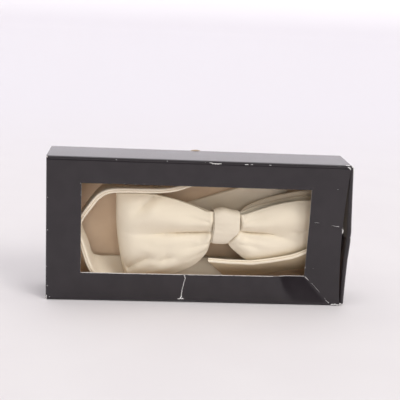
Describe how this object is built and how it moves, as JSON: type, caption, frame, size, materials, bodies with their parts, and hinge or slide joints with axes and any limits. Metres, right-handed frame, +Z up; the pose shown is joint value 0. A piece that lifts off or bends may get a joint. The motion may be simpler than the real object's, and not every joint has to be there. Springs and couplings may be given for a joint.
{
  "type": "bow tie in a window box",
  "caption": "Pre-tied silk bow tie with its neckband looped behind it, standing in a narrow folded-card box with a window cut in the front.",
  "frame": {"origin": "middle of the box's footprint on the surface it stands on", "axes": "+X along the box to the right as seen through the window, +Y from the window to the back panel, +Z up"},
  "size_m": [0.174, 0.031, 0.0843],
  "materials": {
    "black_card": "satin",
    "ivory_silk": "soft sheen",
    "plated_steel": "satin"
  },
  "bodies": {
    "root": {"carton": "black_card", "bow_loops": "ivory_silk", "bow_tails": "ivory_silk", "knot_band": "ivory_silk", "neckband_left": "ivory_silk", "neckband_right": "ivory_silk", "clasp": "plated_steel"}
  },
  "joints": []
}
